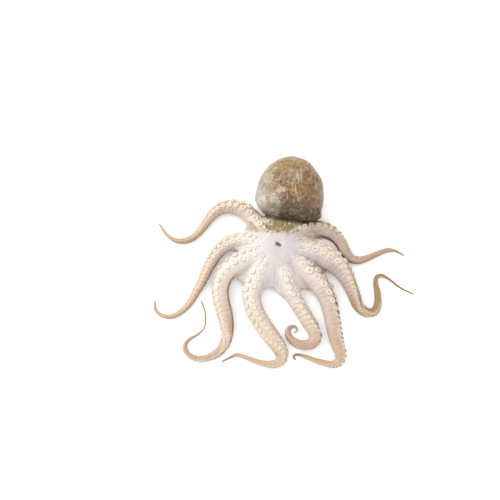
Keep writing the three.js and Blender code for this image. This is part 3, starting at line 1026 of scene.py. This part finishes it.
# %% Painted shade with dark skin in the crease under the mantle, and the mouth
# Painted shade and dark skin in the crease where the mantle meets the head, and on the mantle's lower
# edge, which curves under
from_crease = np.maximum(1.4 - gap, 2 * gap - 2.8) + 0.6 * fine
crease = (1 - smooth(0.6, 3, from_crease)) * band(18, 24, 30, 44, y)
low_edge = y + 0.018 * (x - 11) ** 2 + 1.5 * fine
crease = np.maximum(crease, on_mantle * (1 - smooth(28.5, 34, low_edge)))
paint.lay(CREASE_SKIN_AND_SHADE, 0.9 * crease)
along_mouth = x * math.cos(MOUTH_SLANT) + y * math.sin(MOUTH_SLANT)
across_mouth = y * math.cos(MOUTH_SLANT) - x * math.sin(MOUTH_SLANT)
from_slit = np.hypot(along_mouth, MOUTH_OVAL * across_mouth)
paint.lay(MOUTH_EDGE, 0.7 * (1 - smooth(3.2, 5.4, from_slit)))
paint.lay(MOUTH_DARK, 0.85 * (1 - smooth(2.8, 4.4, from_slit)))
print("crease and mouth")

# %% Keep the colours, and where dots, mottling and pale flecks lie
dots = 0.9 * under + 0.8 * rim + 0.4 * crest + crease + 0.7 * edge
dots = np.clip(dots + 0.75 * on_mantle * (1 - 0.6 * left_highlight), 0, 1)
dots = np.maximum(dots, 0.35 * tan * smooth(0.9, 1.5, turn) * out)
mottle = np.clip(0.12 + 0.75 * on_mantle * (1 - 0.5 * left_highlight) + 0.4 * (rim + under), 0, 1)
flecks = on_mantle * (1 - 0.9 * crease)
keep_colour(skin, "tone", paint.colours)
keep_colour(skin, "layer", np.column_stack([dots, mottle, flecks]))
print("painted", len(points), "points")

# %% [markdown]
# ## The skin's finish
#
# Wet flesh lets light in a little and has a clear film on it, so the shader has some
# subsurface and a coat. On top of the painted tone, noise breaks it up at 4 mm and at
# 1 mm, small dark cells are the colour dots of the brown skin, and a few pale flecks
# lie on the mantle. The bump holds only what is finer than the mesh.

# %% Finish helpers
def add_node(material, kind, **values):
    """A new node, its inputs set by name."""
    node = material.node_tree.nodes.new(kind)
    for name, value in values.items():
        node.inputs[name.replace("_", " ")].default_value = value
    return node


def link(material, start, end):
    material.node_tree.links.new(start, end)


def stretch(material, value, low, high):
    """Stretches a value from low..high to 0..1; low may be above high."""
    node = add_node(material, "ShaderNodeMapRange", From_Min=low, From_Max=high)
    link(material, value, node.inputs["Value"])
    return node.outputs["Result"]


def times(material, *values):
    """The product of values, which are outputs or plain numbers."""
    result = values[0]
    for value in values[1:]:
        node = add_node(material, "ShaderNodeMath")
        node.operation = "MULTIPLY"
        link(material, result, node.inputs[0])
        if isinstance(value, (int, float)):
            node.inputs[1].default_value = value
        else:
            link(material, value, node.inputs[1])
        result = node.outputs[0]
    return result


def blend(material, under, over, share, mode="MIX"):
    """Mixes the screen colour over into the colour under it."""
    node = material.node_tree.nodes.new("ShaderNodeMix")
    node.data_type = "RGBA"
    node.blend_type = mode
    link(material, share, node.inputs["Factor"])
    link(material, under, node.inputs[6])
    node.inputs[7].default_value = (*linear(*over), 1)
    return node.outputs[2]


def pattern(material, scale, detail=3, kind="ShaderNodeTexNoise"):
    """A noise or cell pattern in the piece's own coordinates."""
    nodes = material.node_tree.nodes
    where = nodes.get("where") or nodes.new("ShaderNodeTexCoord")
    where.name = "where"
    node = nodes.new(kind)
    node.inputs["Scale"].default_value = scale
    if kind == "ShaderNodeTexNoise":
        node.inputs["Detail"].default_value = detail
    link(material, where.outputs["Object"], node.inputs["Vector"])
    return node.outputs[0]


def wet_flesh(name, coat, subsurface):
    """A wet, slightly see-through material whose colour comes from the tone attribute."""
    material = bpy.data.materials.new(name)
    material.use_nodes = True
    shader = material.node_tree.nodes["Principled BSDF"]
    shader.inputs["Coat Weight"].default_value = coat
    shader.inputs["Coat Roughness"].default_value = 0.16
    shader.inputs["Coat IOR"].default_value = 1.38
    shader.inputs["Subsurface Weight"].default_value = subsurface
    shader.inputs["Subsurface Radius"].default_value = (1, 0.45, 0.3)
    shader.inputs["Subsurface Scale"].default_value = 2.2 * MM
    tone = material.node_tree.nodes.new("ShaderNodeVertexColor")
    tone.layer_name = "tone"
    return material, shader, tone.outputs["Color"]


# %% Skin material
DOT_COLOUR = (66, 50, 28)
FLECK_COLOUR = (236, 222, 196)
SHADE_COLOUR = (150, 118, 92)
PALE_GRAIN = (206, 178, 138)
BLOTCH_SCALE = 230
GRAIN_SCALE = 900
DOT_SCALE = 1000
DOT_FIELD_SCALE = 320
FLECK_SCALE = 130
BUMP = 0.4 * MM

flesh, shader, colour = wet_flesh("wet skin", coat=0.45, subsurface=0.15)
layer = flesh.node_tree.nodes.new("ShaderNodeVertexColor")
layer.layer_name = "layer"
split = flesh.node_tree.nodes.new("ShaderNodeSeparateColor")
link(flesh, layer.outputs["Color"], split.inputs["Color"])
dots_mask, mottle_mask, fleck_mask = split.outputs

blotches = pattern(flesh, BLOTCH_SCALE, 4)
grain = pattern(flesh, GRAIN_SCALE)
cells = pattern(flesh, DOT_SCALE, kind="ShaderNodeTexVoronoi")
fleck_cells = pattern(flesh, FLECK_SCALE, kind="ShaderNodeTexVoronoi")
dot_fields = stretch(flesh, pattern(flesh, DOT_FIELD_SCALE, 2), 0.38, 0.62)
dots_mask = times(flesh, dot_fields, dots_mask)

# Colour, pattern, where it starts and is full, mask, strength and how it is mixed
layers = [
    (SHADE_COLOUR, blotches, 0.5, 0.75, mottle_mask, 0.7, "MULTIPLY"),
    (FLECK_COLOUR, blotches, 0.5, 0.25, mottle_mask, 0.3, "MIX"),
    (SHADE_COLOUR, grain, 0.5, 0.72, mottle_mask, 1.0, "MULTIPLY"),
    (PALE_GRAIN, grain, 0.48, 0.3, fleck_mask, 0.45, "MIX"),
    (DOT_COLOUR, cells, 0.42, 0.22, dots_mask, 0.75, "MIX"),
    (FLECK_COLOUR, fleck_cells, 0.12, 0.07, fleck_mask, 0.8, "MIX"),
]
for tint, texture, start, full, mask, strength, mode in layers:
    share = times(flesh, stretch(flesh, texture, start, full), mask, strength)
    colour = blend(flesh, colour, tint, share, mode)
link(flesh, colour, shader.inputs["Base Color"])
link(flesh, stretch(flesh, grain, -0.6, 1.6), shader.inputs["Roughness"])
bump = add_node(flesh, "ShaderNodeBump", Strength=0.35, Distance=BUMP)
link(flesh, grain, bump.inputs["Height"])
link(flesh, bump.outputs["Normal"], shader.inputs["Normal"])
skin.data.materials.clear()
skin.data.materials.append(flesh)
print("skin material:", len(flesh.node_tree.nodes), "nodes")

# %% [markdown]
# ## One sucker
#
# A sucker is a fleshy cup on a short neck: a thick round rim, a funnel inside it and a
# deep hole in the middle. By hand it is a circle extruded upwards, shrunk for the
# funnel and sunk for the hole, ring by ring. The small ones near the tips get fewer
# rings and sides, because there are hundreds of them.

# %% Model the cup once, with radius 1
# Radius, height and place on the cup, from 0 at the skirt to 1 in the hole
CUP_RINGS = [(1.12, -0.55, 0), (1.0, -0.12, 0.1), (0.96, 0.12, 0.25), (1.0, 0.28, 0.4),
             (0.92, 0.42, 0.5), (0.76, 0.45, 0.55), (0.56, 0.36, 0.68), (0.36, 0.27, 0.8),
             (0.22, 0.24, 0.88), (0.13, 0.05, 1)]
SMALL_CUP_RINGS = [(1.1, -0.6, 0), (1.0, 0.25, 0.4), (0.72, 0.45, 0.55), (0.35, 0.2, 1)]
CUP_SIDES = 12
SMALL_CUP_SIDES = 8
SMALL_CUP = 2.3


def model_cup(name, rings, sides):
    """Extrudes and resizes a circle through the rings and closes the last one."""
    radius, height, part = rings[0]
    deselect_all()
    bpy.ops.mesh.primitive_circle_add(vertices=sides, radius=radius, fill_type="NGON",
                                      location=(0, 0, height))
    cup = bpy.context.active_object
    cup.name = name
    keep_place_in_mesh(cup)
    bpy.ops.object.mode_set(mode="EDIT")
    bpy.ops.mesh.select_all(action="SELECT")
    for next_radius, next_height, next_part in rings[1:]:
        rise = next_height - height
        bpy.ops.mesh.extrude_region_move(TRANSFORM_OT_translate={"value": (0, 0, rise)})
        scale = next_radius / radius
        bpy.ops.transform.resize(value=(scale, scale, 1), center_override=(0, 0, next_height))
        radius, height = next_radius, next_height
    bpy.ops.mesh.poke()
    bpy.ops.mesh.select_all(action="SELECT")
    bpy.ops.mesh.quads_convert_to_tris()
    bpy.ops.mesh.normals_make_consistent(inside=False)
    bpy.ops.object.mode_set(mode="OBJECT")
    bpy.ops.object.shade_smooth()
    return cup


def cup_parts(cup, rings):
    """Each point's place on the cup, read from its radius and height."""
    spots = coordinates(cup) * MM
    radii = np.hypot(spots[:, 0], spots[:, 1])
    table = np.array(rings)
    gaps = np.hypot(radii[:, None] - table[:, 0], spots[:, 2:] - table[:, 1])
    parts = table[gaps.argmin(1), 2]
    in_middle = radii < 0.01
    parts[in_middle] = np.where(spots[in_middle, 2] < -0.3, 0, 1)
    return parts


big_cup = model_cup("cup", CUP_RINGS, CUP_SIDES)
small_cup = model_cup("small_cup", SMALL_CUP_RINGS, SMALL_CUP_SIDES)
cups = [(big_cup, cup_parts(big_cup, CUP_RINGS)), (small_cup, cup_parts(small_cup, SMALL_CUP_RINGS))]
print("cup points:", [len(cup.data.vertices) for cup, parts in cups])

# %% [markdown]
# ## All suckers
#
# Each copy has its own mesh and is turned so that it faces away from the skin under it.
# It takes the skin's colour at its foot, so that it grows out of the arm; the rim is
# creamier, the funnel peach and the hole painted brown as shade. On pale arms the
# suckers are flatter and their funnels show less. The copies are joined into one piece.

# %% Copy and join the suckers
RIM_CREAM = (255, 246, 230)
CUP_PEACH = (228, 190, 160)
HOLE_SHADE = (176, 136, 104)
OVAL_CHANGE = 0.07
# How plainly the funnels and the painted shade in their holes show on each arm, and how high the cups
# are for their width
CUP_STRENGTH = np.array([0.6, 0.8, 0.65, 0.3, 0.25, 0.35, 0.6, 0.7])
CUP_HEIGHT = 0.26 + 0.5 * ARM_TAN


def cup_paint(foot, parts, strength):
    """The colours of one sucker that stands on skin of the colour foot."""
    cup_colour = Paint(foot, len(parts))
    cup_colour.lay(CREAM, np.full(len(parts), 0.35))
    cup_colour.lay(RIM_CREAM, (0.25 + 0.4 * strength) * smooth(0.0, 0.3, parts))
    cup_colour.lay(CUP_PEACH, 0.75 * strength * smooth(0.56, 0.72, parts))
    # Painted shade in the sucker's hole
    cup_colour.lay(HOLE_SHADE, 0.8 * strength * smooth(0.85, 1, parts))
    return cup_colour.colours


skin_tree = surface(skin)
chance = np.random.default_rng(21)
copies = []
for centre, facing, width, number in sucker_places(skin_tree):
    cup, parts = cups[1] if width < SMALL_CUP else cups[0]
    foot_at, normal, face, gap = skin_tree.find_nearest(centre * MM)
    foot = paint.colours[skin.data.polygons[face].vertices[0]]
    copy = bpy.data.objects.new("sucker", cup.data.copy())
    oval = 1 + OVAL_CHANGE * chance.uniform(-1, 1)
    size = Matrix.Diagonal((width / 2 * oval, width / 2 / oval, CUP_HEIGHT[number] * width / 2, 1))
    turn = facing.to_track_quat("Z", "X").to_matrix().to_4x4()
    copy.data.transform(Matrix.Scale(MM, 4) @ Matrix.Translation(centre) @ turn @ size)
    keep_colour(copy, "tone", cup_paint(foot, parts, CUP_STRENGTH[number]))
    bpy.context.scene.collection.objects.link(copy)
    copies.append(copy)
for cup, parts in cups:
    bpy.data.objects.remove(cup)

deselect_all()
for copy in copies:
    copy.select_set(True)
bpy.context.view_layer.objects.active = copies[0]
bpy.ops.object.join()
suckers = bpy.context.active_object
suckers.name = "octopus_suckers"
suckers.data.name = "octopus_suckers"
print("suckers:", len(copies), "with", len(suckers.data.polygons), "triangles")

# %% Sucker material
CUP_GRAIN_SCALE = 700

cup_flesh, shader, colour = wet_flesh("wet sucker", coat=0.5, subsurface=0.18)
grain = pattern(cup_flesh, CUP_GRAIN_SCALE)
share = times(cup_flesh, stretch(cup_flesh, grain, 0.5, 0.8), 0.5)
colour = blend(cup_flesh, colour, SHADE_COLOUR, share, "MULTIPLY")
link(cup_flesh, colour, shader.inputs["Base Color"])
link(cup_flesh, stretch(cup_flesh, grain, -0.7, 1.8), shader.inputs["Roughness"])
suckers.data.materials.clear()
suckers.data.materials.append(cup_flesh)
print("sucker material:", len(cup_flesh.node_tree.nodes), "nodes")

# %% [markdown]
# ## Hand over to the frame
#
# Both pieces stand for the same node, whose imported part is hidden, and ride on its one body.

# %% Ride, replace and measure
for piece in (skin, suckers):
    make_active(piece)
    bpy.ops.object.shade_smooth()
    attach(piece, "root")
    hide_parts("octopus")

low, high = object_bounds()
print("visual box in mm:", [round((b - a) / MM, 1) for a, b in zip(low, high)])
